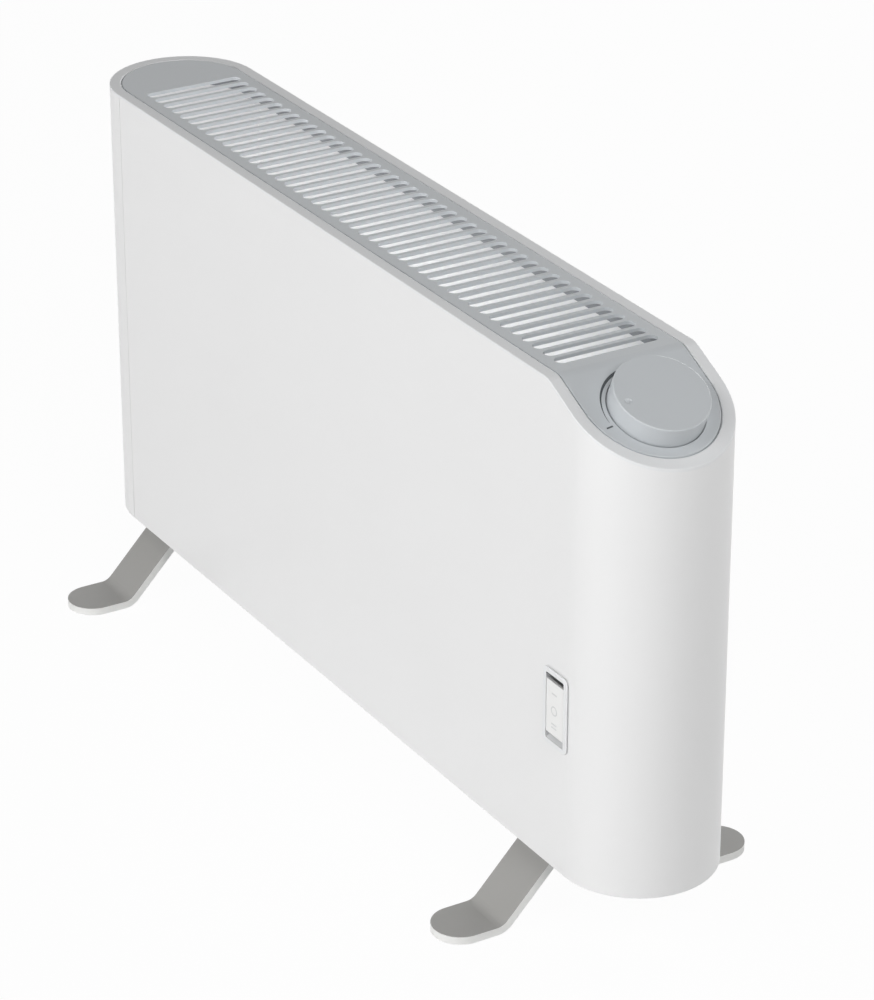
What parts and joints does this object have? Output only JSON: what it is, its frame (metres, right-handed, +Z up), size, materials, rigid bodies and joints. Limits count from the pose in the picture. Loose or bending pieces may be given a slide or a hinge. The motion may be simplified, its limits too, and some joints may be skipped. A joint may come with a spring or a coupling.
{
  "type": "electric panel heater",
  "caption": "Slim free-standing electric convector heater with rounded ends, slotted top, thermostat knob on a sloped end, rocker switch and bent-bar feet.",
  "frame": {"origin": "on the floor, under the middle of the heater", "axes": "+X along the heater towards the thermostat end, -Y towards the front with the switch, +Z up"},
  "size_m": [0.554, 0.185, 0.3083],
  "materials": {
    "coated_steel": "white satin powder coat",
    "rim_plastic": "light grey fine-grained moulding",
    "frame_plastic": "dark grey moulding",
    "grille_plastic": "cool light grey fine-grained moulding",
    "knob_plastic": "light grey satin moulding",
    "switch_frame_plastic": "white moulding",
    "rocker_plastic": "white moulding",
    "foot_coat": "warm grey satin coat, paler on the bar's edges",
    "zinc_steel": "zinc-plated sheet",
    "shield_aluminium": "rolled sheet",
    "fastener_steel": "zinc plated",
    "element_aluminium": "extruded",
    "rod_steel": "drawn steel sheath",
    "steatite": "unglazed",
    "phenolic": "black moulding",
    "shaft_steel": "turned",
    "tab_brass": "stamped",
    "block_plastic": "natural polyamide",
    "gland_plastic": "light grey polyamide",
    "grommet_rubber": "moulded",
    "live_wire_silicone": "brown silicone insulation",
    "switched_wire_silicone": "black silicone insulation",
    "neutral_wire_silicone": "blue silicone insulation",
    "earth_wire_silicone": "green and yellow silicone insulation"
  },
  "bodies": {
    "heater": {"casing_wrap": "coated_steel", "left_end_cover": "coated_steel", "top_rim": "rim_plastic", "vent_frame": "frame_plastic", "grille": "grille_plastic", "switch_bezel": "switch_frame_plastic", "left_foot": "foot_coat", "right_foot": "foot_coat", "base_plate": "zinc_steel", "left_element_bracket": "zinc_steel", "right_element_bracket": "zinc_steel", "partition": "zinc_steel", "front_heat_shield": "shield_aluminium", "rear_heat_shield": "shield_aluminium", "base_screws": "fastener_steel", "foot_bolts": "fastener_steel", "foot_nuts": "fastener_steel", "thermostat_nut": "fastener_steel", "rocker_pin": "fastener_steel", "element_fins": "element_aluminium", "lower_heating_rod": "rod_steel", "upper_heating_rod": "rod_steel", "rod_link": "rod_steel", "rod_insulators": "steatite", "thermostat_body": "phenolic", "overheat_cutout": "phenolic", "switch_block": "phenolic", "thermostat_tabs": "tab_brass", "switch_tabs": "tab_brass", "cutout_tabs": "tab_brass", "earth_stud": "tab_brass", "terminal_block": "block_plastic", "cable_gland": "gland_plastic", "gland_nut": "gland_plastic", "grommet": "grommet_rubber", "supply_wire": "live_wire_silicone", "cutout_wire": "live_wire_silicone", "thermostat_wire": "live_wire_silicone", "low_heat_wire": "switched_wire_silicone", "high_heat_wire": "switched_wire_silicone", "neutral_wire": "neutral_wire_silicone", "earth_wire": "earth_wire_silicone"},
    "thermostat_knob": {"knob": "knob_plastic", "thermostat_shaft": "shaft_steel"},
    "switch_rocker": {"rocker": "rocker_plastic"}
  },
  "joints": [
    {"name": "knob_turn", "type": "hinge", "parent": "heater", "child": "thermostat_knob", "pos_m": [0.24276, 0, 0.28794], "axis": [0.4321, 0, 0.9018], "range_deg": [-200, 8]},
    {"name": "rocker_tilt", "type": "hinge", "parent": "heater", "child": "switch_rocker", "pos_m": [0.2254, -0.036, 0.13], "axis": [1, 0, 0], "range_deg": [-8, 8]}
  ]
}
